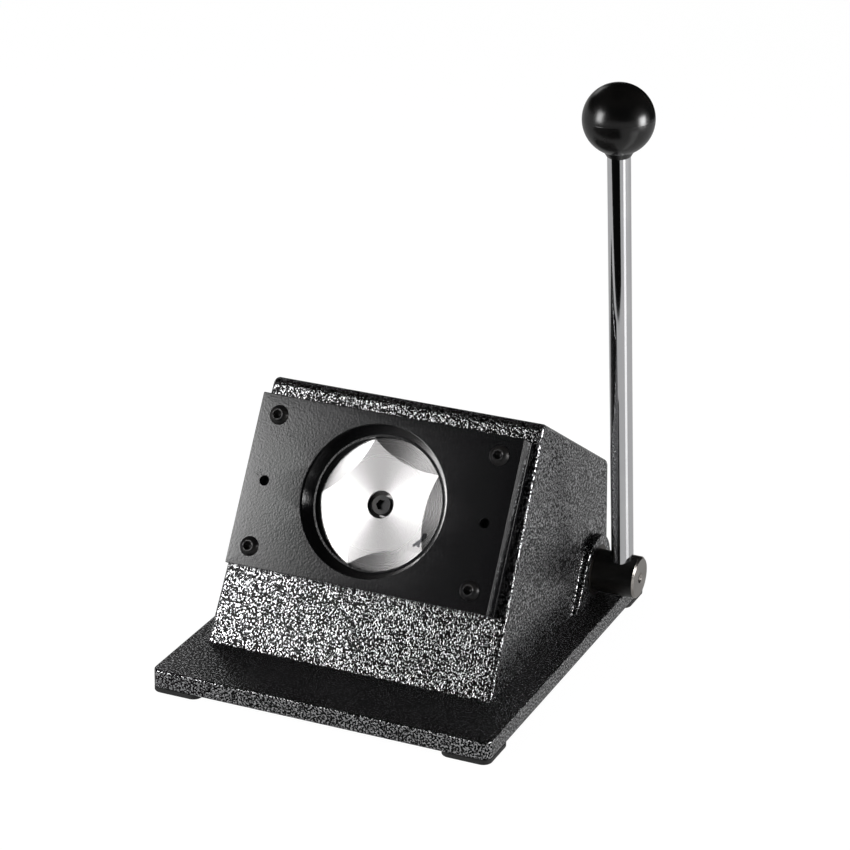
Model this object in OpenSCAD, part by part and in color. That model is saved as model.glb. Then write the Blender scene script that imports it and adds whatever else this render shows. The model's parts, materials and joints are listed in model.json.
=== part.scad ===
// Bench die cutter for badge papers: a sloping cast housing on a base plate, a die
// set on its face, and a ram that a hand lever drives through an involute cam.
// Millimetres. +Z is up, the die faces -Y, and the lever is on the +X side.

/* [Base] */
// Width of the base plate
base_w = 188.2; // [170:0.1:240]
// Depth of the base plate
base_d = 225; // [215:1:290]
// Thickness of the base plate
base_t = 10; // [8:0.5:16]
// Radius of the base plate's upright corners
base_corner_r = 5; // [2:0.5:12]
// Distance of the housing's centre plane to the left of the base plate's centre
housing_shift = 2.6; // [0:0.1:6]
// Side of each square rubber foot
foot_w = 27; // [15:1:40]
// Thickness of the rubber feet
foot_t = 2.6; // [1.5:0.1:6]

/* [Housing] */
// Width of the housing at the base plate
housing_w = 160.6; // [150:0.1:190]
// Distance from the base plate's front edge to the foot of the sloping face
housing_setback = 40.6; // [20:0.1:60]
// Depth of the housing along the base plate
housing_d = 167.2; // [160:0.1:180]
// Lean of the face from upright, in degrees
face_lean = 30; // [25:0.5:35]
// Length of the face along its slope
face_len = 144.7; // [140:0.1:170]
// Height of the rear wall above the base plate
rear_h = 69; // [60:1:80]
// Wall thickness of the casting
wall = 6; // [5:0.5:8]
// Lean of the side walls, in degrees
draft = 1.7; // [0:0.1:2.5]
// Radius of the roof's two edges
roof_edge_r = 5; // [1:0.5:10]
// Height of each bearing pad above its side wall
pad_t = 3; // [1:0.5:6]
// Radius of the bearing pads round the shaft
pad_r = 19.2; // [17:0.1:21]

/* [Die set] */
// Width of the die set's plates
plate_w = 147; // [135:1:148]
// Height of the plates along the slope
plate_h = 91.2; // [86:0.1:100]
// Height of the die's centre along the slope
die_s = 87.7; // [80:0.1:92]
// Thickness of the guide plate
guide_t = 4; // [3:0.1:6]
// Gap that the paper goes into
slot_t = 0.8; // [0.5:0.1:1.5]
// Thickness of the die plate
die_t = 8; // [6:0.1:12]
// Depth of the die's straight cutting edge
die_land = 2.2; // [1:0.1:3]
// Thickness of the cover plate
cover_t = 2.2; // [1.5:0.1:4]
// Radius of the cover plate's window
window_r = 40.1; // [38:0.1:42]
// Width of each shim between the guide plate and the die plate
shim_w = 20; // [16:0.5:26]
// Distance of the plate screws and the dowels from the centre plane
screw_x = 62; // [56:0.5:64]
// Distance of the plate screws above and below the die's centre
screw_s = 35; // [30:0.5:38]
// Radius of the M6 screws
screw_r = 3; // [2:0.5:4]
// Radius of the dowel pins
dowel_r = 2; // [1.5:0.5:3]
// Radius of the cover plate's hole over each dowel, through which it is driven out
dowel_window_r = 2.5; // [2:0.5:3.5]
// Depth of each dowel's end below the cover plate's front
dowel_sunk = 4; // [1:0.5:6]

/* [Punch and ram] */
// Radius of the punch
punch_r = 35; // [30:0.5:36]
// Length of the punch
punch_len = 22; // [18:1:26]
// Depth of the punch face behind the guide plate's front
punch_rest = 0.2; // [0.1:0.1:1]
// Distance from the punch's axis to each scallop's nearest edge
scallop_start = 24.5; // [20:0.5:28]
// Radius of the arc that each scallop leaves on the punch face
scallop_arc_r = 58; // [50:1:80]
// Slope of each scallop where it starts, in degrees
scallop_slope = 6; // [3:1:20]
// Radius of the ram
ram_r = 15; // [12:0.5:17]
// Wall of the ram's bronze bush
bush_wall = 4; // [2:0.5:6]
// Length of the ram's bronze bush
bush_len = 38; // [30:1:42]
// Thickness of the cap on the ram's tail
cap_t = 6.5; // [5:0.5:9]
// Radius of the cap on the ram's tail
cap_r = 21; // [20:0.5:24]
// Wire radius of the return spring
wire_r = 1.3; // [0.8:0.1:1.4]
// Number of coils in the return spring
coils = 4.5; // [3:0.5:5]

/* [Cam drive] */
// Distance of the shaft behind the housing's face, along the ram
shaft_back = 117; // [116:0.5:119]
// Distance of the shaft below the ram's axis
shaft_drop = 3; // [1:0.5:5]
// Radius of the shaft on the lever's side
shaft_r = 11.5; // [10:0.5:12]
// Radius of the shaft through the cam
spindle_r = 9; // [8:0.5:10]
// Wall of the shaft's bronze bushes
shaft_bush_wall = 2.5; // [2:0.5:4]
// Length of the shaft's bronze bushes
shaft_bush_len = 22; // [16:1:30]
// Travel of the ram for one radian of the lever
cam_rate = 10; // [8:0.5:10.5]
// Distance from the shaft's axis to the cap's face at rest
cam_rise = 13.5; // [13:0.5:15]
// Width of the cam's lobe
lobe_w = 20; // [10:1:30]
// Length of the cam's hub
hub_w = 40; // [34:1:50]
// Radius of the cam's cross pin
cross_pin_r = 2.5; // [2:0.5:3]

/* [Lever] */
// Distance of the lever's rod from the centre plane
rod_x = 97.4; // [95:0.1:110]
// Lean of the rod towards the front at rest, in degrees
rod_lean = 8; // [0:0.5:20]
// Radius of the rod
rod_r = 6; // [5:0.5:8]
// Distance from the shaft's axis to the ball's centre
lever_len = 267.6; // [200:1:320]
// Radius of the ball knob
ball_r = 18.4; // [15:0.1:22]
// Radius of the knob's neck where it leaves the ball
neck_r = 8.3; // [7.5:0.1:9]
// Radius of the knob's neck at its end
neck_tip_r = 6.5; // [6.2:0.1:7.5]
// Distance from the ball's centre to the end of its neck
neck_end = 19.7; // [19:0.1:26]
// Length of shaft beyond the rod's axis
shaft_end = 10.1; // [9:0.1:20]

/* [Hidden] */
$fn = 64;

running = 0.04;        // radial clearance of a running fit
seat = 0.02;           // radial clearance of a seated fit
hole_play = 0.2;       // radial clearance of a screw in a plain hole
eps = 0.5;             // run-out of a cut past a face
cam_gap = 0.05;        // gap between the cam and the cap's face
far = 400;             // larger than the whole machine

base_top = foot_t + base_t;
frame_x = (rod_x + ball_r + housing_shift - base_w / 2) / 2;
frame_y = base_d / 2;
stack_t = guide_t + slot_t + die_t + cover_t;
punch_face = guide_t - punch_rest;
punch_back = punch_face - punch_len;
shoulder_gap = 0.3;
bush_front = punch_back - shoulder_gap - 8;
bush_back = bush_front - bush_len;
cap_back = -(shaft_back - cam_rise - cam_gap);
cap_front = cap_back + cap_t;
tube_r = ram_r + bush_wall + 8;
barrel_r = punch_r + 7;
pad_x = housing_w / 2 + pad_t;
shaft_tip_x = rod_x + shaft_end;
shaft_left_x = -pad_x - 6;
button_r = 1.75 * screw_r;
button_h = 3.3;
cap_head_r = 5;
cap_head_h = 6;
screw_boss_r = 8;
front_boss_y = housing_setback + 21.5;
rear_boss_y = housing_setback + 112;
base_boss_x = housing_w / 2 - wall - screw_boss_r - 2.5;
ram_spigot_r = 8;
ram_spigot_h = 4;
cap_spigot_r = 6;
cap_spigot_h = 12;
insert_r = 5.2;
stub_r = 4;
stub_h = 14;
// The neck's cone runs on a little way into the ball
neck_h = neck_end - sqrt(ball_r * ball_r - neck_r * neck_r) + 0.6;
hub_r = cam_rise - 0.5;
cam_swing = 74;        // turn over which the cam's involute is cut, in degrees
cam_steps = 24;

// ---- vectors and places ----

function unit(v) = v / norm(v);
function cross2(a, b) = a[0] * b[1] - a[1] * b[0];

// The corner q of an outline, moved inwards by w from both of its edges
function inset(p, q, r, w) =
    let (a = unit(p - q), b = unit(r - q)) q + w * (a + b) / abs(cross2(a, b));

// Points of a round of radius c at the corner q between p and r
function round_corner(p, q, r, c, steps = 8) =
    let (
        a = unit(p - q), b = unit(r - q),
        half = acos(a * b) / 2,
        centre = q + unit(a + b) * c / sin(half),
        start = q + a * c / tan(half) - centre,
        finish = q + b * c / tan(half) - centre,
        turn = 180 - 2 * half,
        side = cross2(start, finish) > 0 ? 1 : -1
    )
    [for (i = [0:steps]) let (t = side * turn * i / steps)
        centre + [start[0] * cos(t) - start[1] * sin(t), start[0] * sin(t) + start[1] * cos(t)]];

// The housing's side outline, as [y, z]
face_foot = [housing_setback, base_top];
face_top = face_foot + face_len * [sin(face_lean), cos(face_lean)];
rear_foot = [housing_setback + housing_d, base_top];
rear_top = rear_foot + [0, rear_h];

module in_frame() {
    translate([-frame_x, -frame_y, 0]) children();
}

// X is across, Y is up the face's slope and Z is out of the face
module on_face() {
    in_frame() translate([0, housing_setback, base_top]) rotate([90 - face_lean, 0, 0]) children();
}

// The same axes, with the origin where the ram's axis meets the housing's face
module on_ram() {
    on_face() translate([0, die_s, 0]) children();
}

// X along the shaft, with Y and Z still up and out of the face's slope
module on_shaft() {
    on_ram() translate([0, -shaft_drop, -shaft_back]) children();
}

// The origin on the shaft's axis with Z straight up
module at_shaft() {
    on_shaft() rotate([face_lean - 90, 0, 0]) children();
}

// The lever's axes: Z runs from the shaft to the ball
module on_lever() {
    at_shaft() translate([rod_x, 0, 0]) rotate([rod_lean, 0, 0]) children();
}

// A cylinder from z0 to z1
module rod_z(r, z0, z1) {
    translate([0, 0, z0]) cylinder(r = r, h = z1 - z0);
}

// A cylinder along X from x0 to x1
module rod_along_x(r, x0, x1) {
    translate([x0, 0, 0]) rotate([0, 90, 0]) cylinder(r = r, h = x1 - x0);
}

// A slab on the XY plane, centred, with round upright corners
module slab(w, d, h, r) {
    translate([-w / 2 + r, -d / 2, 0]) cube([w - 2 * r, d, h]);
    translate([-w / 2, -d / 2 + r, 0]) cube([w, d - 2 * r, h]);
    for (x = [-1, 1], y = [-1, 1])
        translate([x * (w / 2 - r), y * (d / 2 - r), 0]) cylinder(r = r, h = h);
}

// ---- base ----

module base_hole_places() {
    for (x = [-1, 1], y = [front_boss_y, rear_boss_y])
        translate([x * base_boss_x, y, 0]) children();
}

module base_plate() {
    color([0.23, 0.23, 0.24]) in_frame() difference() {
        translate([housing_shift, base_d / 2, foot_t]) slab(base_w, base_d, base_t, base_corner_r);
        base_hole_places() {
            rod_z(screw_r + hole_play, foot_t - eps, base_top + eps);
            rod_z(cap_head_r + hole_play, foot_t - eps, foot_t + cap_head_h + hole_play);
        }
    }
}

// A pad flush with the base plate's corner; sx and sy pick the corner
module foot(sx, sy) {
    x = housing_shift + sx * (base_w - foot_w) / 2;
    y = base_d / 2 + sy * (base_d - foot_w) / 2;
    color([0.04, 0.04, 0.04]) in_frame() translate([x, y, 0])
        slab(foot_w, foot_w, foot_t, base_corner_r);
}

// A cap screw from below, through the base plate into the housing
module base_screw(sx, y) {
    z0 = foot_t + hole_play;
    color([0.15, 0.15, 0.15]) in_frame() translate([sx * base_boss_x, y, 0]) difference() {
        union() {
            rod_z(cap_head_r, z0, z0 + cap_head_h);
            rod_z(screw_r, z0, base_top + 12);
        }
        translate([0, 0, z0 - eps]) cylinder(r = 2.9, h = 3 + eps, $fn = 6);
    }
}

// ---- housing ----

module side_profile(points, x0, x1) {
    translate([x0, 0, 0]) rotate([90, 0, 90]) linear_extrude(x1 - x0) polygon(points);
}

// The solid wedge, with leaning sides
module wedge() {
    outline = concat(
        [face_foot],
        round_corner(face_foot, face_top, rear_top, roof_edge_r),
        round_corner(face_top, rear_top, rear_foot, roof_edge_r),
        [rear_foot]
    );
    difference() {
        side_profile(outline, -housing_w / 2, housing_w / 2);
        for (s = [-1, 1])
            translate([s * housing_w / 2, 0, base_top]) rotate([0, -s * draft, 0])
                translate([s > 0 ? 0 : -far, -far, -far]) cube([far, 2 * far, 2 * far]);
    }
}

// The space inside the casting, open at the bottom
module cavity() {
    slant = [wall / cos(face_lean), 0];
    half = housing_w / 2 - wall - (face_top[1] - base_top) * tan(draft);
    side_profile([
        face_foot + slant + [-10 * tan(face_lean), -10],
        inset(face_foot, face_top, rear_top, wall),
        inset(face_top, rear_top, rear_foot, wall),
        rear_foot + [-wall, -10]
    ], -half, half);
}

// The arch of a bearing pad: round the shaft, and spreading forwards to the base plate
module pad_outline() {
    y = housing_setback + die_s * sin(face_lean) + shaft_back * cos(face_lean)
        - shaft_drop * sin(face_lean);
    z = base_top + die_s * cos(face_lean) - shaft_back * sin(face_lean)
        - shaft_drop * cos(face_lean);
    tangent = [y - pad_r * cos(face_lean), z + pad_r * sin(face_lean)];
    drop = (tangent[1] - base_top) / cos(face_lean);
    intersection() {
        translate([0, base_top]) square([far, far]);
        union() {
            translate([y, z]) circle(r = pad_r);
            polygon([
                tangent, tangent - drop * [sin(face_lean), cos(face_lean)],
                [y + pad_r, base_top], [y + pad_r, z]
            ]);
        }
    }
}

module bearing_pad(x0, x1) {
    translate([x0, 0, 0]) rotate([90, 0, 90]) linear_extrude(x1 - x0) pad_outline();
}

// Everything cast inside the walls: the barrel, the guide tube and the bosses
module inner_castings() {
    place_on_ram() {
        rod_z(barrel_r, punch_back - shoulder_gap - 6, 0);
        rod_z(tube_r, bush_back, 0);
    }
    bearing_pad(-housing_w / 2, -pad_x + shaft_bush_len);
    bearing_pad(pad_x - shaft_bush_len, housing_w / 2);
    base_hole_places() rod_z(screw_boss_r, base_top, base_top + 16);
    place_on_ram() for (x = [-1, 1], s = [-1, 1])
        translate([x * screw_x, s * screw_s, 0]) rod_z(screw_boss_r, -14, 0);
}

// The ram's axes, without the shift into the row's frame
module place_on_ram() {
    translate([0, housing_setback, base_top]) rotate([90 - face_lean, 0, 0])
        translate([0, die_s, 0]) children();
}

module housing() {
    color([0.3, 0.3, 0.31]) in_frame() difference() {
        union() {
            difference() {
                wedge();
                cavity();
            }
            intersection() {
                wedge();
                inner_castings();
            }
            bearing_pad(-pad_x, -housing_w / 2 + wall);
            bearing_pad(housing_w / 2 - wall, pad_x);
        }
        place_on_ram() {
            rod_z(punch_r + 1, punch_back - shoulder_gap, eps);
            rod_z(ram_r + bush_wall + seat, bush_back - eps, 0);
            for (x = [-1, 1], s = [-1, 1])
                translate([x * screw_x, s * screw_s, 0]) rod_z(screw_r + seat, -12, eps);
            for (x = [-1, 1]) translate([x * screw_x, 0, 0]) rod_z(dowel_r + seat, -wall - eps, eps);
            translate([0, -shaft_drop, -shaft_back]) {
                rod_along_x(shaft_r + shaft_bush_wall + seat, 0, far);
                rod_along_x(spindle_r + shaft_bush_wall + seat, -far, 0);
            }
        }
        base_hole_places() rod_z(screw_r + seat, base_top - eps, base_top + 13);
    }
}

// ---- die set ----

// A plate of the die set from z0 to z1, with its screw and dowel holes
module die_set_plate(w, z0, z1, pin_hole_r = dowel_r + seat) {
    difference() {
        translate([-w / 2, -plate_h / 2, z0]) cube([w, plate_h, z1 - z0]);
        plate_holes(z0 - eps, z1 + eps, pin_hole_r);
    }
}

module plate_holes(z0, z1, pin_hole_r = dowel_r + seat) {
    for (x = [-1, 1]) translate([x * screw_x, 0, 0]) {
        rod_z(pin_hole_r, z0, z1);
        for (s = [-1, 1]) translate([0, s * screw_s, 0]) rod_z(screw_r + hole_play, z0, z1);
    }
}

module guide_plate() {
    color([0.1, 0.1, 0.1]) on_ram() difference() {
        die_set_plate(plate_w, 0, guide_t);
        rod_z(punch_r + running, -eps, guide_t + eps);
    }
}

// A strip that holds the paper slot open at one side; sx picks the side
module shim(sx) {
    x = sx * (plate_w / 2 - 1 - shim_w / 2);
    color([0.5, 0.5, 0.5]) on_ram() difference() {
        translate([x - shim_w / 2, -plate_h / 2 + 1, guide_t]) cube([shim_w, plate_h - 2, slot_t]);
        plate_holes(guide_t - eps, guide_t + slot_t + eps);
    }
}

module die_plate() {
    z0 = guide_t + slot_t;
    z1 = z0 + die_t;
    slope = (window_r - punch_r - 1) / (die_t - die_land);
    color([0.12, 0.12, 0.12]) on_ram() difference() {
        die_set_plate(plate_w, z0, z1);
        rod_z(punch_r + running, z0 - eps, z1);
        translate([0, 0, z0 + die_land]) cylinder(
            r1 = punch_r + 1, r2 = window_r + slope * eps, h = die_t - die_land + eps);
    }
}

module cover_plate() {
    color([0.14, 0.14, 0.14]) on_ram() difference() {
        die_set_plate(plate_w, stack_t - cover_t, stack_t, dowel_window_r);
        rod_z(window_r, stack_t - cover_t - eps, stack_t + eps);
    }
}

// A button head screw; sx and sy pick the corner
module plate_screw(sx, sy) {
    dome_r = (button_r * button_r + button_h * button_h) / (2 * button_h);
    color([0.08, 0.08, 0.08]) on_ram() translate([sx * screw_x, sy * screw_s, 0]) difference() {
        union() {
            intersection() {
                rod_z(button_r, stack_t, stack_t + button_h);
                translate([0, 0, stack_t + button_h - dome_r]) sphere(r = dome_r);
            }
            rod_z(screw_r, -11, stack_t + 1);
        }
        translate([0, 0, stack_t + button_h - 2]) cylinder(r = 2.3, h = 2 + eps, $fn = 6);
    }
}

module dowel(sx) {
    color([0.35, 0.35, 0.35]) on_ram() translate([sx * screw_x, 0, 0])
        rod_z(dowel_r, -wall, stack_t - dowel_sunk);
}

module ram_bush() {
    color([0.7, 0.5, 0.25]) on_ram() difference() {
        rod_z(ram_r + bush_wall, bush_back, bush_front);
        rod_z(ram_r + running, bush_back - eps, bush_front + eps);
    }
}

// ---- punch and ram ----

// The tool that leaves one dished shear face; its sphere cuts the punch face in an arc
module scallop() {
    lift = scallop_arc_r / tan(scallop_slope);
    ball = sqrt(scallop_arc_r * scallop_arc_r + lift * lift);
    translate([scallop_start + scallop_arc_r, 0, punch_face + lift]) sphere(r = ball);
}

module punch() {
    color([0.75, 0.75, 0.76]) on_ram() difference() {
        rod_z(punch_r, punch_back, punch_face);
        for (i = [0:4]) rotate([0, 0, 72 * i]) scallop();
        rod_z(7, punch_face - 7, punch_face + eps);
        rod_z(screw_r + hole_play, punch_back - eps, punch_face);
        rod_z(ram_spigot_r + seat, punch_back - eps, punch_back + ram_spigot_h + seat);
    }
}

module punch_screw() {
    head = punch_face - 7;
    color([0.1, 0.1, 0.1]) on_ram() difference() {
        union() {
            rod_z(cap_head_r, head, head + cap_head_h);
            rod_z(screw_r, punch_back - 16, head + 1);
        }
        translate([0, 0, head + 3]) cylinder(r = 2.9, h = 3 + eps, $fn = 6);
    }
}

module ram() {
    color([0.6, 0.6, 0.6]) on_ram() difference() {
        union() {
            rod_z(ram_r, cap_front, punch_back);
            rod_z(ram_spigot_r, punch_back - 1, punch_back + ram_spigot_h);
        }
        rod_z(screw_r + seat, punch_back - 18, punch_back + ram_spigot_h + eps);
        rod_z(cap_spigot_r + seat, cap_front - eps, cap_front + cap_spigot_h + eps);
    }
}

// The hard cap on the ram's tail: the spring's seat, and the flat that the cam pushes
module ram_cap() {
    color([0.5, 0.5, 0.52]) on_ram() {
        rod_z(cap_r, cap_back, cap_front);
        rod_z(cap_spigot_r, cap_back + 1, cap_front + cap_spigot_h);
    }
}

// The return spring, swept along its coil from the guide tube to the cap
module return_spring() {
    sides = 8;
    per_coil = 24;
    coil_r = ram_r + 2 + wire_r;
    end_gap = 0.1;
    z0 = cap_front + end_gap + wire_r;
    z1 = bush_back - end_gap - wire_r;
    rings = coils * per_coil;
    points = [for (i = [0:rings], j = [0:sides - 1])
        let (t = 360 * i / per_coil, s = 360 * j / sides, r = coil_r + wire_r * cos(s))
        [r * cos(t), r * sin(t), z0 + (z1 - z0) * i / rings + wire_r * sin(s)]];
    walls = [for (i = [0:rings - 1], j = [0:sides - 1])
        let (k = (j + 1) % sides)
        [i * sides + j, (i + 1) * sides + j, (i + 1) * sides + k, i * sides + k]];
    caps = [[for (j = [0:sides - 1]) j], [for (j = [sides - 1:-1:0]) rings * sides + j]];
    color([0.45, 0.45, 0.47]) on_ram() polyhedron(points, concat(walls, caps));
}

// ---- cam drive ----

// A bush in a bearing boss; the bore is r and sx picks the side
module shaft_bush(sx, r) {
    x0 = sx > 0 ? pad_x - shaft_bush_len : -pad_x;
    color([0.7, 0.5, 0.25]) on_shaft() difference() {
        rod_along_x(r + shaft_bush_wall, x0, x0 + shaft_bush_len);
        rod_along_x(r + running, x0 - eps, x0 + shaft_bush_len + eps);
    }
}

module handle_shaft() {
    step_x = hub_w / 2;
    color([0.2, 0.2, 0.21]) difference() {
        on_shaft() difference() {
            union() {
                rod_along_x(shaft_r, step_x, shaft_tip_x - 1);
                translate([shaft_tip_x - 1, 0, 0]) rotate([0, 90, 0])
                    cylinder(r1 = shaft_r, r2 = shaft_r - 1, h = 1);
                rod_along_x(spindle_r, shaft_left_x, step_x + 1);
            }
            translate([shaft_tip_x - 3, 0, 0]) rotate([0, 90, 0])
                cylinder(r1 = 0.6, r2 = 3.4, h = 3 + eps);
            ring_groove();
            translate([hub_w / 2 - 6, 0, 0]) rod_z(cross_pin_r + seat, -far, far);
        }
        on_lever() rod_z(rod_r + seat, -shaft_r + 2, far);
    }
}

// The groove of the retaining ring, at the shaft's left end
module ring_groove() {
    x = -pad_x - 1.2 - 1.5;
    difference() {
        rod_along_x(spindle_r + 1, x, x + 1.4);
        rod_along_x(spindle_r - 0.8, x - eps, x + 2);
    }
}

// The cam: a hub, and a lobe whose edge is the involute of a circle of radius cam_rate
module cam() {
    outline = [for (i = [-4:cam_steps])
        let (t = cam_swing * i / cam_steps, rise = cam_rise + cam_rate * t * PI / 180)
        [cam_rate * cos(t) + rise * sin(t), rise * cos(t) - cam_rate * sin(t)]];
    color([0.4, 0.4, 0.42]) on_shaft() difference() {
        union() {
            rod_along_x(hub_r, -hub_w / 2, hub_w / 2);
            translate([-lobe_w / 2, 0, 0]) rotate([90, 0, 90]) linear_extrude(lobe_w)
                polygon(concat(outline, [[hub_r * cos(60), -hub_r * sin(60)], [0, 0]]));
        }
        rod_along_x(spindle_r + seat, -hub_w, hub_w);
        translate([hub_w / 2 - 6, 0, 0]) rod_z(cross_pin_r + seat, -far, far);
    }
}

module cam_pin() {
    color([0.6, 0.6, 0.6]) on_shaft() translate([hub_w / 2 - 6, 0, 0])
        rod_z(cross_pin_r, -hub_r + 0.5, hub_r - 0.5);
}

module thrust_washer() {
    color([0.7, 0.5, 0.25]) on_shaft() difference() {
        rod_along_x(spindle_r + 5, -pad_x - 1.2, -pad_x - 0.2);
        rod_along_x(spindle_r + running, -pad_x - 2, -pad_x);
    }
}

// An open ring in the shaft's groove
module retaining_ring() {
    x = -pad_x - 1.2 - 1.4;
    color([0.3, 0.3, 0.3]) on_shaft() difference() {
        rod_along_x(spindle_r + 2.5, x, x + 1.2);
        rod_along_x(spindle_r - 0.7, x - eps, x + 2);
        translate([x - eps, -2.5, 0]) cube([3, 5, far]);
    }
}

// ---- lever ----

module handle_rod() {
    color([0.85, 0.85, 0.86]) on_lever() {
        rod_z(rod_r, -shaft_r + 2.2, lever_len - neck_end);
        rod_z(stub_r, lever_len - neck_end - 1, lever_len - neck_end + stub_h);
    }
}

module knob() {
    color([0.05, 0.05, 0.05]) on_lever() difference() {
        translate([0, 0, lever_len]) {
            sphere(r = ball_r);
            translate([0, 0, -neck_end]) cylinder(r1 = neck_tip_r, r2 = neck_r, h = neck_h);
        }
        rod_z(insert_r + seat, lever_len - neck_end - eps, lever_len - neck_end + stub_h + 2);
    }
}

module knob_insert() {
    z0 = lever_len - neck_end;
    color([0.75, 0.6, 0.3]) on_lever() difference() {
        rod_z(insert_r, z0 + 0.1, z0 + stub_h + 1);
        rod_z(stub_r + seat, z0 - eps, z0 + stub_h + 2);
    }
}

base_plate();
foot(-1, -1);  // foot_front_left
foot(1, -1);  // foot_front_right
foot(-1, 1);  // foot_rear_left
foot(1, 1);  // foot_rear_right
base_screw(-1, front_boss_y);  // base_screw_front_left
base_screw(1, front_boss_y);  // base_screw_front_right
base_screw(-1, rear_boss_y);  // base_screw_rear_left
base_screw(1, rear_boss_y);  // base_screw_rear_right
housing();
guide_plate();
shim(-1);  // shim_left
shim(1);  // shim_right
die_plate();
cover_plate();
plate_screw(-1, 1);  // plate_screw_top_left
plate_screw(1, 1);  // plate_screw_top_right
plate_screw(-1, -1);  // plate_screw_bottom_left
plate_screw(1, -1);  // plate_screw_bottom_right
dowel(-1);  // dowel_left
dowel(1);  // dowel_right
ram_bush();
shaft_bush(-1, spindle_r);  // shaft_bush_left
shaft_bush(1, shaft_r);  // shaft_bush_right
punch();
punch_screw();
ram();
ram_cap();
return_spring();
handle_shaft();
cam();
cam_pin();
thrust_washer();
retaining_ring();
handle_rod();
knob();
knob_insert();
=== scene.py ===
# A bench die cutter for badge papers: a sloping cast housing on a base plate, a die set of
# three plates on its face, and a round punch that a side lever drives through a cam.

import json
import math

import bmesh
import bpy
from mathutils import Matrix, Vector


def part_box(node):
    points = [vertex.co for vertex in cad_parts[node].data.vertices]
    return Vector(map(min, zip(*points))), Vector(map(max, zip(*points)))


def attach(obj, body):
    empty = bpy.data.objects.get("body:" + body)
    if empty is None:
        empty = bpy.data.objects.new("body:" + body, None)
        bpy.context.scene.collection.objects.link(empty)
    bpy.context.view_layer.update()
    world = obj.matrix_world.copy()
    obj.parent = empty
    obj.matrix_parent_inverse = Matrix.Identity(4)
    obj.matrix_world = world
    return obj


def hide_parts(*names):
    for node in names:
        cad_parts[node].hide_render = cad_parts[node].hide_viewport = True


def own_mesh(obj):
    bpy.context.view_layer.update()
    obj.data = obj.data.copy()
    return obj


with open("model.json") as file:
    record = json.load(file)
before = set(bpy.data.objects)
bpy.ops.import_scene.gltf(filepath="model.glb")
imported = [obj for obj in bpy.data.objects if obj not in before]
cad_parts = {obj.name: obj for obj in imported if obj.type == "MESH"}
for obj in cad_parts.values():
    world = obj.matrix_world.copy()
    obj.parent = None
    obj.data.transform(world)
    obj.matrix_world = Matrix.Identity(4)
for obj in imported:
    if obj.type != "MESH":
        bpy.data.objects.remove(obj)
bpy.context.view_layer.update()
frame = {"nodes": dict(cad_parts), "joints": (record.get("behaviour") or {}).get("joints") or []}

MM = 0.001
weld = 1e-7  # corners nearer than this are one


# ---- the machine's own directions ----
# The ram slides square out of the sloping face, so its joint gives the slope. The shaft's axis
# is the lever's hinge, and the die's centre is the cover plate's.

joints = {joint["name"]: joint for joint in frame["joints"]}
ACROSS = Vector((1, 0, 0))
OUT = Vector(joints["ram_slide"]["axis"]).normalized()
FACE_LEAN = math.asin(OUT.z)

stack_t = 15 * MM
cover_t = 2.2 * MM
cover_low, cover_high = (Vector(corner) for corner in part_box("cover_plate"))
face_centre = (cover_low + cover_high) / 2 - OUT * (stack_t - cover_t / 2)
centre_x = face_centre.x
shaft_axis = Vector(joints["lever_turn"]["pos_m"])


def axes_matrix(origin, z_axis, x_axis=ACROSS):
    """The matrix that stands a shape made on the XY plane at origin, with its Z along z_axis."""
    z = Vector(z_axis).normalized()
    x = (Vector(x_axis) - z * z.dot(Vector(x_axis))).normalized()
    turned = Matrix((x, z.cross(x), z)).transposed().to_4x4()
    return Matrix.Translation(origin) @ turned


on_ram = axes_matrix(face_centre, OUT)


# ---- camera ----
# It stands about 1.6 m off, in front, to the right and above, on a long lens.

camera_place = Vector((579.0, -1341.6, 722.0)) * MM
camera_azimuth = math.radians(23.4)
camera_elevation = math.radians(22.21)
camera_roll = math.radians(1.07)

back = Vector((
    math.sin(camera_azimuth) * math.cos(camera_elevation),
    -math.cos(camera_azimuth) * math.cos(camera_elevation),
    math.sin(camera_elevation),
))
level_right = Vector((math.cos(camera_azimuth), math.sin(camera_azimuth), 0))
level_up = back.cross(level_right)
right = level_right * math.cos(camera_roll) + level_up * math.sin(camera_roll)
up = level_up * math.cos(camera_roll) - level_right * math.sin(camera_roll)

camera_data = bpy.data.cameras.new("camera")
camera_data.lens = 129.0
camera_data.sensor_width = 36.0
camera_data.clip_start = 0.05
camera = bpy.data.objects.new("camera", camera_data)
camera.matrix_world = Matrix.Translation(camera_place) @ (
    Matrix((right, up, back)).transposed().to_4x4()
)
bpy.context.scene.collection.objects.link(camera)
bpy.context.scene.camera = camera
bpy.context.scene.view_settings.view_transform = "Standard"


# ---- studio ----
# A pale table top, a white sweep low round it and a dark room above. A tall soft box stands
# front left, a broad one at the right and a weak one behind. Black and white cards, seen only
# in reflections, give the bright metal something to mirror.


def give(made, *inputs, **settings):
    """Gives a node its own settings, then its inputs by name or in order, and returns it.

    An input gets a value, or a socket that is joined to it; None leaves it as it is.
    """
    for key, value in [*settings.items(), *enumerate(inputs)]:
        by_name = isinstance(key, str)
        socket = made.inputs.get(key.replace("_", " ")) if by_name else made.inputs[key]
        if socket is None:
            setattr(made, key, value)
        elif isinstance(value, bpy.types.NodeSocket):
            made.id_data.links.new(value, socket)
        elif value is not None:
            socket.default_value = value
    return made


def node(tree, kind, *inputs, **settings):
    """A new node of this kind, with its settings and its inputs."""
    return give(tree.nodes.new(kind), *inputs, **settings)


def maths(tree, operation, *inputs, **settings):
    """The result of a sum on numbers."""
    return node(tree, "ShaderNodeMath", *inputs, operation=operation, **settings).outputs[0]


def vectors(tree, operation, *inputs, **settings):
    """The result of a sum on vectors, which is a number for a length or a dot product."""
    made = node(tree, "ShaderNodeVectorMath", *inputs, operation=operation, **settings)
    return made.outputs["Value" if operation in ("DOT_PRODUCT", "LENGTH") else "Vector"]


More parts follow.
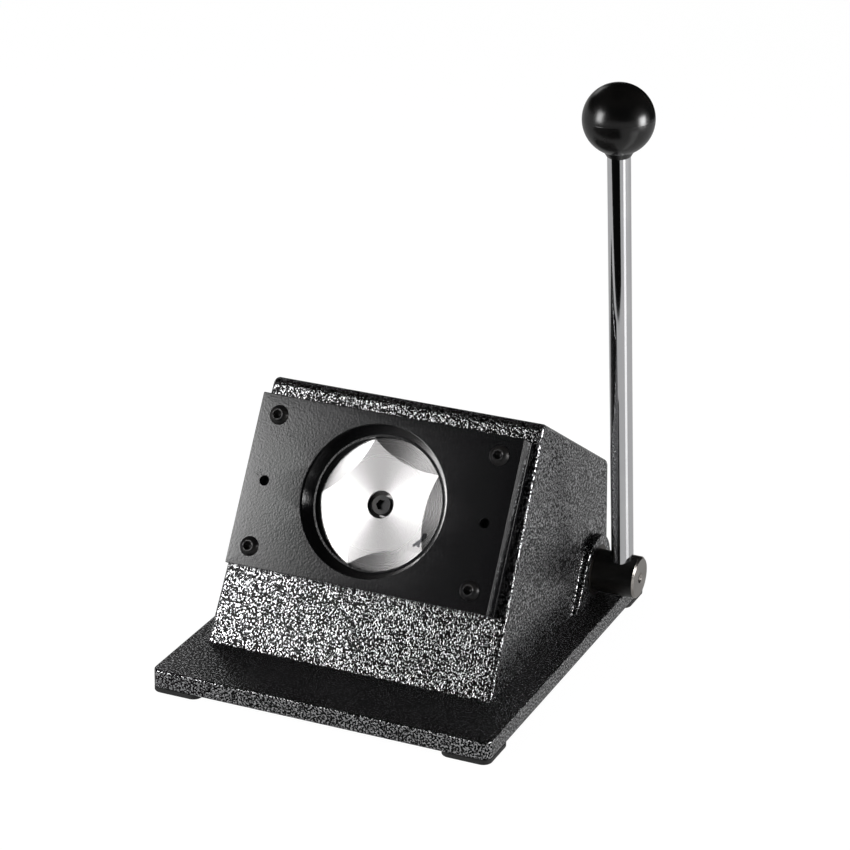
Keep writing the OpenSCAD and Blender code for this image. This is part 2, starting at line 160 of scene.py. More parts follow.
def ramp(tree, value, low, high, start=0.0, end=1.0, smooth=False):
    """Carries a value that runs from start to end over to one from low to high."""
    return node(
        tree, "ShaderNodeMapRange", value, start, end, low, high,
        interpolation_type="SMOOTHSTEP" if smooth else "LINEAR",
    ).outputs["Result"]


def mixed(tree, share, first, second):
    """The colour that lies a share of the way from first to second."""
    other_kinds = [None] * 5
    return node(
        tree, "ShaderNodeMix", share, *other_kinds, first, second, data_type="RGBA"
    ).outputs[2]


def noise(tree, place, **settings):
    """A noise texture's value at a place."""
    return node(tree, "ShaderNodeTexNoise", Vector=place, **settings).outputs["Fac"]


def bumped(tree, height, distance, strength=1.0, normal=None):
    """The normal of a surface whose height of 1 stands out by distance."""
    return node(
        tree, "ShaderNodeBump", Strength=strength, Distance=distance, Height=height, Normal=normal
    ).outputs[0]


def place_in(tree):
    """The place on the piece, as a material sees it."""
    found = tree.nodes.get("Texture Coordinate") or node(tree, "ShaderNodeTexCoord")
    return found.outputs["Object"]


def new_group(name, inputs, outputs, kind="ShaderNodeTree"):
    """A node group, the sockets it is given and its output node.

    Each input and output is a name, a kind and, where it has one, a value.
    """
    group = bpy.data.node_groups.new(name, kind)
    for way, sockets in (("INPUT", inputs), ("OUTPUT", outputs)):
        for label, socket_kind, *value in sockets:
            socket = group.interface.new_socket(
                label, in_out=way, socket_type="NodeSocket" + socket_kind
            )
            if value:
                socket.default_value = value[0]
    return group, node(group, "NodeGroupInput").outputs, node(group, "NodeGroupOutput")


def inside(material):
    """A material's node tree and its Principled shader."""
    return material.node_tree, material.node_tree.nodes["Principled BSDF"]


def new_material(name, color, roughness, metallic=0.0, **sockets):
    """A material with a Principled shader, and its tree and shader to build on."""
    material = bpy.data.materials.new(name)
    material.use_nodes = True
    tree, shader = inside(material)
    give(shader, Base_Color=(*color, 1), Roughness=roughness, Metallic=metallic, **sockets)
    return material, tree, shader


def stage_card(name, corners, material):
    """A flat card of the studio, with its corners in order."""
    shape = bpy.data.meshes.new(name)
    shape.from_pydata([tuple(corner) for corner in corners], [], [tuple(range(len(corners)))])
    shape.materials.append(material)
    card = bpy.data.objects.new(name, shape)
    bpy.context.scene.collection.objects.link(card)
    return card


def seen_rays(tree):
    """1 on rays from the camera, and 1 on those and on mirrored rays."""
    path = node(tree, "ShaderNodeLightPath").outputs
    mirrored = maths(tree, "MAXIMUM", path["Is Glossy Ray"], path["Is Transmission Ray"])
    return path["Is Camera Ray"], maths(tree, "MAXIMUM", path["Is Camera Ray"], mirrored)


table_material, tree, shader = new_material("table", (0.9, 0.9, 0.9), 0.7, Specular_IOR_Level=0.1)
camera_ray, seen = seen_rays(tree)
# The camera sees it a little over white and mirrors see it at under half of that. Other rays
# meet it as plain matt white.
level = maths(tree, "MULTIPLY_ADD", camera_ray, 0.62, 0.45)
glow = node(tree, "ShaderNodeEmission", Strength=level)
blend = node(
    tree, "ShaderNodeMixShader", maths(tree, "MULTIPLY", seen, 0.9), shader.outputs[0],
    glow.outputs[0],
)
give(tree.nodes["Material Output"], Surface=blend.outputs[0])
stage_card("table", [(-4, -4, 0), (4, -4, 0), (4, 4, 0), (-4, 4, 0)], table_material)

black_cloth, tree, shader = new_material(
    "black_cloth", (0.004, 0.004, 0.004), 1.0, Specular_IOR_Level=0.0
)
give(shader, Normal=bumped(tree, noise(tree, None, Scale=40.0), 0.01, 0.2))
white_felt = new_material(
    "white_felt", (0.9, 0.9, 0.9), 0.9, Emission_Color=(1, 1, 1, 1), Emission_Strength=0.4
)[0]
on_table = 0.0006
for name, outline, material in (
    ("black_cloth", [(-0.55, -0.21), (0.26, -0.21), (0.60, -1.2), (-0.90, -1.2)], black_cloth),
    ("white_strip", [(0.12, 0.055), (0.70, -0.28), (0.80, -0.02), (0.13, 0.075)], white_felt),
    ("black_flag", [(-0.30, 1.3, 0.001), (1.60, 1.3, 0.001), (1.60, 1.3, 0.55),
                    (-0.30, 1.3, 0.55)], black_cloth),
):
    cloth = stage_card(name, [(*corner, on_table)[:3] for corner in outline], material)
    cloth.visible_camera = False
    cloth.visible_diffuse = False
    cloth.visible_shadow = False

world = bpy.data.worlds.new("studio")
bpy.context.scene.world = world
world.use_nodes = True
tree = world.node_tree
tree.nodes.clear()
direction = node(tree, "ShaderNodeTexCoord").outputs["Generated"]
height = node(tree, "ShaderNodeSeparateXYZ", direction).outputs["Z"]
# White up to 2 degrees over level, and nearly black from 9 degrees.
sweep = node(tree, "ShaderNodeValToRGB", height)
for element, position, shade in zip(sweep.color_ramp.elements, (0.04, 0.16), (1, 0.01)):
    element.position = position
    element.color = (shade, shade, shade, 1)
camera_ray, seen = seen_rays(tree)
sky = node(
    tree, "ShaderNodeBackground", sweep.outputs[0],
    maths(tree, "MULTIPLY_ADD", camera_ray, 0.55, 0.45),
)
fill = node(tree, "ShaderNodeBackground", (0.3, 0.3, 0.3, 1), 1.0)
blend = node(tree, "ShaderNodeMixShader", seen, fill.outputs[0], sky.outputs[0])
node(tree, "ShaderNodeOutputWorld", Surface=blend.outputs[0])


machine_middle = Vector((0, 0, 0.12))


def soft_box(name, centre, width, height, radiance):
    """A diffuser that faces the middle of the machine, brightest in its middle."""
    way = (Vector(centre) - machine_middle).normalized()
    side = Vector((0, 0, 1)).cross(way).normalized() * width / 2
    rise = way.cross(side).normalized() * height / 2
    middle = Vector(centre)
    material = bpy.data.materials.new(name)
    material.use_nodes = True
    tree = material.node_tree
    tree.nodes.clear()
    arrive = vectors(tree, "SUBTRACT", place_in(tree), middle)
    shares = []
    for arm in (side, rise):
        along = vectors(tree, "DOT_PRODUCT", arrive, arm / arm.length_squared)
        shares.append(maths(tree, "POWER", maths(tree, "ABSOLUTE", along), 2.0))
    glow = ramp(tree, maths(tree, "MAXIMUM", *shares), 0.0, radiance, 1.0, 0.15, smooth=True)
    lit = node(tree, "ShaderNodeEmission", Strength=glow)
    node(tree, "ShaderNodeOutputMaterial", Surface=lit.outputs[0])
    corners = [middle - side - rise, middle + side - rise, middle + side + rise,
               middle - side + rise]
    stage_card(name, corners, material).visible_camera = False


soft_box("key_box", (-0.914, -1.02, 0.547), width=0.67, height=0.90, radiance=14)
soft_box("side_box", (1.20, 0.22, 0.28), width=0.56, height=0.50, radiance=23)
soft_box("back_box", (-0.95, 1.05, 0.78), width=0.60, height=0.50, radiance=1.2)


# ---- base plate ----
# A 10 mm steel plate with rounded corners, painted like the housing, drilled and counterbored
# from below for the four screws that hold the housing down.

base_w = 188.2 * MM
base_d = 225 * MM
base_low = 2.6 * MM
base_top = 12.6 * MM
base_corner_r = 5 * MM
base_edge_r = 1.1 * MM
base_centre = (-9.55 * MM, 0)
base_screw_x = 63.8 * MM
base_screw_y = (-50.4 * MM, 40.1 * MM)
screw_seat = base_low + 6.2 * MM


def round_rectangle(width, depth, radius, steps=6):
    """A function from an inset to the outline's points, anticlockwise."""

    def outline(inset):
        r = max(radius - inset, 0.02 * MM)
        x, y = width / 2 - inset - r, depth / 2 - inset - r
        points = []
        for quarter, (sx, sy) in enumerate(((1, 1), (-1, 1), (-1, -1), (1, -1))):
            for i in range(steps + 1):
                turn = math.radians(90 * (quarter + i / steps))
                points.append((sx * x + r * math.cos(turn), sy * y + r * math.sin(turn)))
        return points

    return outline


def rounded_edges(low, high, low_r, high_r, steps=4):
    """The side of a plate from low to high, as pairs of inset and height, with round edges."""
    turns = [math.radians(90 * i / steps) for i in range(steps + 1)]
    lower = [(low_r * (1 - math.sin(t)), low + low_r * (1 - math.cos(t))) for t in turns]
    upper = [(high_r * (1 - math.cos(t)), high - high_r * (1 - math.sin(t))) for t in turns]
    return lower + upper


def walls(shape, rings):
    """Faces from each ring of corners to the next."""
    for low, high in zip(rings, rings[1:]):
        for i in range(len(low)):
            j = (i + 1) % len(low)
            shape.faces.new((low[i], low[j], high[j], high[i]))


def drilled_plate(outline, side, holes, centre=(0, 0), steps=48):
    """A plate with this outline and side, and holes given as x, y and pairs of radius, height."""
    shape = bmesh.new()

    def wall(loops):
        rings = [[shape.verts.new(point) for point in loop] for loop in loops]
        walls(shape, rings)
        return rings[0], rings[-1]

    cx, cy = centre
    ends = [wall([[(cx + x, cy + y, z) for x, y in outline(inset)] for inset, z in side])]
    for hx, hy, bore in holes:
        turns = [math.tau * i / steps for i in range(steps)]
        ends.append(wall([
            [(hx + r * math.cos(t), hy + r * math.sin(t), z) for t in turns] for r, z in bore
        ]))
    shape.edges.index_update()
    for end in (0, 1):
        rims = []
        for pair in ends:
            ring = pair[end]
            for i, corner in enumerate(ring):
                rims.append(shape.edges.get((corner, ring[(i + 1) % len(ring)])))
        bmesh.ops.triangle_fill(shape, use_beauty=True, edges=rims)
    return shape


def finished(name, shape, material, body, replaced=(), place=None, sharp=30):
    """Makes a bmesh a smooth piece with crisp edges past a turn in degrees, on its body."""
    if place is not None:
        bmesh.ops.transform(shape, matrix=place, verts=shape.verts)
    bmesh.ops.remove_doubles(shape, verts=shape.verts, dist=weld)
    bmesh.ops.recalc_face_normals(shape, faces=shape.faces)
    for face in shape.faces:
        face.smooth = True
    for edge in shape.edges:
        if len(edge.link_faces) == 2:
            edge.smooth = edge.calc_face_angle(0) < math.radians(sharp)
    mesh = bpy.data.meshes.new(name)
    shape.to_mesh(mesh)
    shape.free()
    mesh.materials.append(material)
    piece = bpy.data.objects.new(name, mesh)
    bpy.context.scene.collection.objects.link(piece)
    weighted = piece.modifiers.new("even_shading", "WEIGHTED_NORMAL")
    weighted.keep_sharp = True
    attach(piece, body)
    if replaced:
        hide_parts(*replaced)
    return piece


def hammered_paint_group():
    """Paint that drew up into worm-like ridges and pits: gives its shade and its height."""
    group, given, result = new_group(
        "hammered_finish",
        [("Vector", "Vector"), ("Pits per metre", "Float", 1000.0),
         ("Ridge Color", "Color", (0.48, 0.48, 0.49, 1)),
         ("Pit Color", "Color", (0.003, 0.003, 0.003, 1))],
        [("Color", "Color"), ("Height", "Float")],
    )
    place = given["Vector"]
    warp = node(group, "ShaderNodeTexNoise", place, Scale=800.0, Detail=1.0).outputs["Color"]
    warped = vectors(group, "MULTIPLY_ADD", warp, (0.0008, 0.0008, 0.0008), place)
    cells = noise(group, warped, Scale=given["Pits per metre"], Detail=0.8, Roughness=0.5)
    ridge = ramp(group, cells, 0.0, 1.0, 0.455, 0.64, smooth=True)
    give(result, Color=mixed(group, ridge, given["Pit Color"], given["Ridge Color"]), Height=ridge)
    return group


hammered_group = hammered_paint_group()
hammered_paint, tree, shader = new_material("hammered_paint", (0.1, 0.1, 0.1), 0.22, 0.95)
paint = node(tree, "ShaderNodeGroup", node_tree=hammered_group, Vector=place_in(tree)).outputs
give(shader, Base_Color=paint["Color"], Normal=bumped(tree, paint["Height"], 0.00009))

counterbore = [
    (5.5 * MM, base_low), (5.2 * MM, base_low + 0.3 * MM), (5.2 * MM, screw_seat),
    (3.2 * MM, screw_seat), (3.2 * MM, base_top),
]
base_holes = [
    (centre_x + side * base_screw_x, y, counterbore) for side in (-1, 1) for y in base_screw_y
]
finished(
    "base_plate_painted",
    drilled_plate(
        round_rectangle(base_w, base_d, base_corner_r),
        rounded_edges(base_low, base_top, low_r=0.8 * MM, high_r=base_edge_r),
        base_holes,
        base_centre,
    ),
    hammered_paint, "frame", ["base_plate"],
)


# ---- rubber feet ----
# Four moulded rubber pads, glued flush under the corners of the base plate.

foot_w = 27 * MM
foot_t = base_low


def four_corners_tree():
    """Geometry nodes that set a shape at the four corners of a rectangle, each turned anew."""
    tree, given, result = new_group(
        "four_corners",
        [("Shape", "Geometry"), ("Across", "Float"), ("Along", "Float"), ("Turn", "Float"),
         ("Seed", "Int"), ("Material", "Material")],
        [("Geometry", "Geometry")],
        "GeometryNodeTree",
    )
    corners = node(
        tree, "GeometryNodeMeshGrid", given["Across"], given["Along"], Vertices_X=2, Vertices_Y=2
    )
    turn = node(tree, "FunctionNodeRandomValue", data_type="FLOAT", Seed=given["Seed"])
    most = next(s for s in turn.inputs if s.name == "Max" and s.type == "VALUE")
    tree.links.new(given["Turn"], most)
    value = next(s for s in turn.outputs if s.type == "VALUE")
    spin = node(tree, "ShaderNodeCombineXYZ", Z=value)
    placed = node(
        tree, "GeometryNodeInstanceOnPoints", Points=corners.outputs["Mesh"],
        Instance=given["Shape"], Rotation=spin.outputs[0],
    )
    real = node(tree, "GeometryNodeRealizeInstances", placed.outputs[0])
    dressed = node(tree, "GeometryNodeSetMaterial", real.outputs[0], Material=given["Material"])
    give(result, Geometry=dressed.outputs[0])
    return tree


four_corners = four_corners_tree()


def set_in_fours(name, shape, across, along, turn, seed, material, body, replaced, place):
    """Makes one shape four pieces' worth at the corners of a rectangle, as one plain mesh."""
    mesh = bpy.data.meshes.new(name)
    shape.to_mesh(mesh)
    shape.free()
    maker = bpy.data.objects.new(name + "_maker", mesh)
    bpy.context.scene.collection.objects.link(maker)
    setter = maker.modifiers.new("four_corners", "NODES")
    setter.node_group = four_corners
    values = {"Across": across, "Along": along, "Turn": turn, "Seed": seed, "Material": material}
    for item in four_corners.interface.items_tree:
        if item.in_out == "INPUT" and item.name in values:
            setter[item.identifier] = values[item.name]
    graph = bpy.context.evaluated_depsgraph_get()
    plain = bpy.data.meshes.new_from_object(maker.evaluated_get(graph))
    maker.modifiers.clear()
    bpy.data.objects.remove(maker)
    made = bmesh.new()
    made.from_mesh(plain)
    return finished(name, made, material, body, replaced, place)


rubber, tree, shader = new_material("rubber", (0.012, 0.012, 0.012), 0.7)
grain = noise(tree, place_in(tree), Scale=1800.0, Detail=2.0)
dust = noise(tree, place_in(tree), Scale=90.0, Detail=4.0)
give(shader, Roughness=ramp(tree, dust, 0.55, 0.85), Normal=bumped(tree, grain, 0.0001, 0.4))
foot_shape = drilled_plate(
    round_rectangle(foot_w, foot_w, base_corner_r),
    rounded_edges(0, foot_t, low_r=0.6 * MM, high_r=0.1 * MM), [],
)
set_in_fours(
    "rubber_feet", foot_shape, across=base_w - foot_w, along=base_d - foot_w, turn=0.0, seed=1,
    material=rubber, body="frame",
    replaced=["foot_front_left", "foot_front_right", "foot_rear_left", "foot_rear_right"],
    place=Matrix.Translation((*base_centre, 0)),
)


# ---- base screws ----
# Four socket cap screws in the base plate's counterbores, which pull the housing down from
# below; black oxide on steel.


def turned_shape(profile, steps=48):
    """A shape turned about Z from pairs of radius and height; a radius may vary by the turn."""
    shape = bmesh.new()
    rings = []
    for radius, z in profile:
        if radius == 0:
            rings.append([shape.verts.new((0, 0, z))])
            continue
        ring = []
        for i in range(steps):
            turn = math.tau * i / steps
            r = radius(turn) if callable(radius) else radius
            ring.append(shape.verts.new((r * math.cos(turn), r * math.sin(turn), z)))
        rings.append(ring)
    for low, high in zip(rings, rings[1:]):
        for i in range(steps):
            j = (i + 1) % steps
            corners = []
            for ring, k in ((low, i), (low, j), (high, j), (high, i)):
                corner = ring[k % len(ring)]
                if corner not in corners:
                    corners.append(corner)
            shape.faces.new(corners)
    return shape


def hexagon(across_flats):
    """The radius of a hexagon, by the turn."""
    return lambda turn: across_flats / 2 / math.cos((turn % (math.pi / 3)) - math.pi / 6)


def socket_bottom(across_flats, rim_r, top, depth, lead):
    """The profile of a hex socket, from its chamfered rim to its cone bottom."""
    return [
        (rim_r, top), (hexagon(across_flats), top - lead), (hexagon(across_flats), top - depth),
        (across_flats * 0.25, top - depth - 0.25 * across_flats),
        (0, top - depth - 0.35 * across_flats),
    ]


def cap_screw(head_r, head_h, shank_r, tip, across_flats):
    """A socket cap screw with its head's seat at 0, its shank reaching down to tip."""
    edge = 0.5 * MM
    return turned_shape([
        (0, tip), (shank_r - 0.5 * MM, tip), (shank_r, tip + 0.5 * MM), (shank_r, 0),
        (head_r, 0), (head_r, head_h - edge), (head_r - 0.15 * MM, head_h - 0.15 * MM),
        (head_r - edge, head_h),
        *socket_bottom(across_flats, across_flats * 0.6, head_h, 3 * MM, 0.3 * MM),
    ])


def grain_group():
    """A fine even grain: gives a height, and a mask of worn or dusty patches."""
    group, given, result = new_group(
        "fine_grain",
        [("Vector", "Vector"), ("Grain Scale", "Float", 1200.0), ("Patch Scale", "Float", 60.0)],
        [("Height", "Float"), ("Patches", "Float")],
    )
    place = given["Vector"]
    patch = noise(group, place, Scale=given["Patch Scale"], Detail=4.0, Roughness=0.6)
    give(
        result, Height=noise(group, place, Scale=given["Grain Scale"], Detail=2.0),
        Patches=ramp(group, patch, 0.0, 1.0, 0.35, 0.7),
    )
    return group


fine_grain = grain_group()


def grained_material(name, dark, light, smooth, rough, metallic, depth, grain, patch, **sockets):
    """A material whose colour and roughness drift in patches, over a fine grain."""
    material, tree, shader = new_material(name, light, rough, metallic, **sockets)
    surface = node(
        tree, "ShaderNodeGroup", node_tree=fine_grain, Vector=place_in(tree), Grain_Scale=grain,
        Patch_Scale=patch,
    ).outputs
    give(
        shader, Base_Color=mixed(tree, surface["Patches"], (*dark, 1), (*light, 1)),
        Roughness=ramp(tree, surface["Patches"], smooth, rough),
        Normal=bumped(tree, surface["Height"], depth),
    )
    return material


black_oxide = grained_material(
    "black_oxide", (0.010, 0.010, 0.011), (0.03, 0.028, 0.027), smooth=0.28, rough=0.42,
    metallic=0.5, depth=0.00001, grain=1500, patch=120,
)
middle_y = sum(base_screw_y) / 2
set_in_fours(
    "base_screws",
    cap_screw(head_r=5 * MM, head_h=6 * MM, shank_r=3 * MM, tip=-15.8 * MM, across_flats=5 * MM),
    across=2 * base_screw_x, along=base_screw_y[1] - base_screw_y[0], turn=math.pi / 3, seed=4,
    material=black_oxide, body="frame",
    replaced=["base_screw_front_left", "base_screw_front_right", "base_screw_rear_left",
              "base_screw_rear_right"],
    place=Matrix.Translation((centre_x, middle_y, screw_seat)) @ Matrix.Rotation(math.pi, 4, "X"),
)


# ---- housing ----
# A hollow iron casting with leaning sides and soft edges, under thick hammered paint that
# pools in the corners round the bearing pads and along the joint with the base plate.

housing_w = 160.6 * MM
housing_front = -71.9 * MM
housing_back = 95.3 * MM
face_len = 144.7 * MM
rear_h = 69 * MM
roof_edge_r = 5 * MM
draft = math.radians(1.7)
cast_edge_r = 2.2 * MM
pad_r = 19.2 * MM
pad_t = 3 * MM
pad_edge_r = 1.0 * MM
skin = 0.002 * MM  # by this much the soft hull stands outside the flats, so that they stay
needle = 0.01 * MM  # edges shorter than this are left by the cut, and are closed up
hull_low = base_top - 8 * MM
hull_root = 4 * MM  # the pad's hull starts this far inside the wall's foot
roof_ease = 0.4 * MM  # the hull's roof edges are this much tighter than the casting's
overrun = 9 * MM  # the face's line starts this far below its foot


def wedge_outline(inset, steps=10):
    """The housing's side outline as points of y and z, moved inwards, and cut low at the foot."""
    slope = Vector((math.sin(FACE_LEAN), math.cos(FACE_LEAN)))
    foot = Vector((housing_front, base_top))
    top = foot + slope * face_len
    rear = Vector((housing_back, base_top + rear_h))
    corners = [foot - slope * overrun, top, rear, Vector((housing_back, hull_low))]
    lines = []
    for p, q in zip(corners, corners[1:]):
        way = (q - p).normalized()
        inward = Vector((way.y, -way.x))
        lines.append((p + inward * inset, way))

    def lowest(start, way):
        return start + way * ((hull_low - start.y) / way.y)

    points = [lowest(*lines[0])]
    for (p, a), (q, b) in zip(lines, lines[1:]):
        t = (q - p).cross(b) / a.cross(b)
        corner = p + a * t
        r = max(roof_edge_r - roof_ease - inset, 0.05 * MM)
        turn = a.angle(b)
        cut = r * math.tan(turn / 2)
        centre = corner - a * cut + Vector((a.y, -a.x)) * r
        arm = corner - a * cut - centre
        for i in range(steps + 1):
            t = -turn * i / steps
            points.append(centre + Vector((
                arm.x * math.cos(t) - arm.y * math.sin(t),
                arm.x * math.sin(t) + arm.y * math.cos(t),
            )))
    points.append(lowest(*lines[-1]))
    return points


def side_x(z):
    """Half the housing's width at a height, on its leaning side."""
    return housing_w / 2 - (z - base_top) * math.tan(draft)


def pad_outline(inset, low, steps=24):
    """The bearing pad's outline as points of y and z, from its rear foot over to its front."""
    r = pad_r - inset
    y, z = shaft_axis.y, shaft_axis.z
    points = [(y + r, low)]
    for i in range(steps + 1):
        turn = (math.pi - FACE_LEAN) * i / steps
        points.append((y + r * math.cos(turn), z + r * math.sin(turn)))
    ty, tz = points[-1]
    drop = (tz - low) / math.cos(FACE_LEAN)
    points.append((ty - drop * math.sin(FACE_LEAN), low))
    return points


def lofted(shape, rings):
    """Joins rings of as many points with faces, and closes the first and last."""
    made = [[shape.verts.new(point) for point in ring] for ring in rings]
    walls(shape, made)
    shape.faces.new(made[0][::-1])
    shape.faces.new(made[-1])


def soft_hull():
    """The casting's outside with all its edges rounded, solid, and open to a larger foot."""
    shape = bmesh.new()
    turns = [math.radians(90 * i / 6) for i in range(7)]
    rings = []
    for side in (-1, 1):
        half = []
        for t in turns:
            inset = cast_edge_r * (1 - math.sin(t)) - skin
            sunk = cast_edge_r * (1 - math.cos(t)) - skin
            half.append([
                (centre_x + side * (side_x(z) - sunk), y, z) for y, z in wedge_outline(inset)
            ])
        rings += half if side < 0 else half[::-1]
    lofted(shape, rings)
    for side in (-1, 1):
        top = housing_w / 2 + pad_t + skin
        rings = [[(housing_w / 2 - hull_root, y, z) for y, z in pad_outline(-skin, hull_low)]]
        for t in turns:
            inset = pad_edge_r * (1 - math.cos(t)) - skin
            x = top - pad_edge_r * (1 - math.sin(t))
            rings.append([(x, y, z) for y, z in pad_outline(inset, hull_low)])
        lofted(shape, [[(centre_x + side * x, y, z) for x, y, z in ring] for ring in rings])
    bmesh.ops.recalc_face_normals(shape, faces=shape.faces)
    return shape


bead_root = 0.3  # how far a bead reaches into the walls, as a share of its legs
bead_steps = 5


def fillet_strip(shape, places):
    """A bead of paint along a corner: each place is the corner and its two legs on the walls."""
    rings = []
    for corner, one, other in places:
        corner, one, other = Vector(corner), Vector(one), Vector(other)
        ring = [corner - (one + other) * bead_root]
        for i in range(bead_steps + 1):
            t = i / bead_steps
            ring.append(corner + one * (1 - t) ** 2 + other * t**2)
        rings.append([tuple(point) for point in ring])
    lofted(shape, rings)


def merged_copy(name):
    """A CAD node's mesh with its loose triangles joined, as a new mesh."""
    shape = bmesh.new()
    shape.from_mesh(frame["nodes"][name].data)
    bmesh.ops.remove_doubles(shape, verts=shape.verts, dist=weld)
    mesh = bpy.data.meshes.new(name + "_merged")
    shape.to_mesh(mesh)
    shape.free()
    return mesh


casting = bpy.data.objects.new("casting", merged_copy("housing"))
hull_mesh = bpy.data.meshes.new("soft_hull")
hull_shape = soft_hull()
hull_shape.to_mesh(hull_mesh)
hull_shape.free()
hull = bpy.data.objects.new("soft_hull", hull_mesh)
for part in (casting, hull):
    bpy.context.scene.collection.objects.link(part)
cut = casting.modifiers.new("soft_edges", "BOOLEAN")
cut.operation = "INTERSECT"
cut.solver = "EXACT"
cut.use_self = True
cut.object = hull
graph = bpy.context.evaluated_depsgraph_get()
soft_casting = bmesh.new()
soft_casting.from_mesh(bpy.data.meshes.new_from_object(casting.evaluated_get(graph)))
for part in (casting, hull):
    bpy.data.objects.remove(part)

bmesh.ops.remove_doubles(soft_casting, verts=soft_casting.verts, dist=weld)
bmesh.ops.dissolve_degenerate(soft_casting, dist=needle, edges=soft_casting.edges)
bmesh.ops.dissolve_limit(
    soft_casting, angle_limit=math.radians(0.4), verts=soft_casting.verts,
    edges=soft_casting.edges,
)

bead = 1.1 * MM
for side in (-1, 1):
    outline = pad_outline(0, base_top, 32)
    places = []
    for i, (y, z) in enumerate(outline):
        before = Vector(outline[max(i - 1, 0)])
        after = Vector(outline[min(i + 1, len(outline) - 1)])
        way = (after - before).normalized()
        away = Vector((way.y, -way.x))
        root_x = centre_x + side * side_x(z)
        places.append((
            (root_x, y, z), (0, away.x * bead, away.y * bead), (side * bead, 0, 0)
        ))
    fillet_strip(soft_casting, places)
half = housing_w / 2
foot_bead = 0.9 * MM
up_wall = Vector((0, 0, foot_bead))
up_face = Vector((0, math.sin(FACE_LEAN), math.cos(FACE_LEAN))) * foot_bead
clear = 1.5 * MM
for y, outwards, rise in (
    (housing_front, -foot_bead, up_face), (housing_back, foot_bead, up_wall)
):
    fillet_strip(soft_casting, [
        ((centre_x + x, y, base_top), (0, outwards, 0), rise)
        for x in (clear - half, half - clear)
    ])
for side in (-1, 1):
    fillet_strip(soft_casting, [
        ((centre_x + side * half, y, base_top), (side * foot_bead, 0, 0), up_wall)
        for y in (housing_front + clear, housing_back - clear)
    ])
finished("housing_casting", soft_casting, hammered_paint, "frame", ["housing"])


# ---- die set ----
# Three ground steel plates, stacked on the face and painted satin black with a brush: the
# guide that the paper backs on, the die, and the cover whose window the disc comes out of.

plate_w = 147 * MM
plate_h = 91.2 * MM
guide_t = 4 * MM
slot_t = 0.8 * MM
die_land = 2.2 * MM
punch_bore = 35.04 * MM
window_r = 40.1 * MM
screw_at = (62 * MM, 35 * MM)
plate_edge_r = 0.35 * MM


def mark_group():
    """One knock or scratch between two places: a ragged mask, 1 inside it."""
    group, given, result = new_group(
        "mark",
        [("Vector", "Vector"), ("Start", "Vector"), ("End", "Vector"), ("Width", "Float"),
         ("Ragged", "Float"), ("Grain Scale", "Float")],
        [("Mask", "Float")],
    )
    place = given["Vector"]
    arm = vectors(group, "SUBTRACT", place, given["Start"])
    line = vectors(group, "SUBTRACT", given["End"], given["Start"])
    reach = vectors(group, "DOT_PRODUCT", arm, line)
    whole = vectors(group, "DOT_PRODUCT", line, line)
    share = maths(group, "DIVIDE", reach, whole, use_clamp=True)
    off = vectors(group, "SUBTRACT", arm, vectors(group, "SCALE", line, Scale=share))
    rough = noise(group, place, Scale=given["Grain Scale"], Detail=3.0, Roughness=0.7)
    shaken = maths(group, "SUBTRACT", rough, 0.5)
    distance = vectors(group, "LENGTH", off)
    moved = maths(group, "MULTIPLY_ADD", shaken, given["Ragged"], distance)
    ratio = maths(group, "DIVIDE", moved, given["Width"])
    give(result, Mask=ramp(group, ratio, 0.0, 1.0, 1.0, 0.6, smooth=True))
    return group


marked = mark_group()


def marks_on(tree, height, marks):
    """The joined masks of marks, each its start and end over the face and its half width."""
    total = None
    for start, end, width in marks:
        mark = node(
            tree, "ShaderNodeGroup", node_tree=marked, Vector=place_in(tree),
            Start=on_ram @ Vector((*start, height)), End=on_ram @ Vector((*end, height)),
            Width=width, Ragged=1.6 * width, Grain_Scale=0.6 / width,
        ).outputs["Mask"]
        total = mark if total is None else maths(tree, "MAXIMUM", total, mark)
    return total


def satin_paint():
    """Black paint with a fine orange peel, and small knocks round the cover's edges."""
    material, tree, shader = new_material(
        "satin_black_paint", (0.004, 0.004, 0.0045), 0.2, Specular_IOR_Level=0.45
    )
    peel = noise(tree, place_in(tree), Scale=1000.0, Detail=2.0)
    drift = noise(tree, place_in(tree), Scale=22.0, Detail=3.0)
    knocks = [((x * MM, y * MM), ((x + dx) * MM, (y + dy) * MM), width * MM)
              for x, y, dx, dy, width in (
                  (-53.4, 25.7, 0.9, -0.3, 0.50), (-57.8, -40.5, 0.7, 0.4, 0.55),
                  (-37.8, 39.6, 1.1, 0.1, 0.40), (-37.1, -38.2, 0.6, -0.5, 0.50),
                  (-25.1, -40.7, 1.3, 0.3, 0.45), (61.5, -22.2, 0.4, 0.6, 0.45),
                  (65.8, -5.4, 4.3, -4.4, 0.16), (-64.3, 2.9, -1.1, 2.0, 0.42),
                  (-65.6, 1.8, -1.7, 1.5, 0.38), (63.9, 2.4, 1.0, 0.8, 0.35),
              )]
    height = maths(tree, "MULTIPLY_ADD", marks_on(tree, stack_t, knocks), -6.0, peel)
    give(shader, Roughness=ramp(tree, drift, 0.12, 0.16), Normal=bumped(tree, height, 0.00004))
    return material


satin_black = satin_paint()


def die_set_plate(name, low, high, bore, replaced, pin_hole_r=2.02 * MM):
    """A plate of the die set between two heights over the face, with its middle bore."""
    holes = [(0, 0, bore)]
    play = 3.2 * MM
    lead = 0.3 * MM
    for sx in (-1, 1):
        holes.append((sx * screw_at[0], 0, [
            (pin_hole_r, low), (pin_hole_r, high - lead), (pin_hole_r + lead, high)
        ]))
        for sy in (-1, 1):
            holes.append((sx * screw_at[0], sy * screw_at[1], [(play, low), (play, high)]))
    shape = drilled_plate(
        round_rectangle(plate_w, plate_h, plate_edge_r + 0.1 * MM, 3),
        rounded_edges(low, high, plate_edge_r, plate_edge_r, 3),
        holes, steps=96,
    )
    return finished(name, shape, satin_black, "frame", [replaced], on_ram)


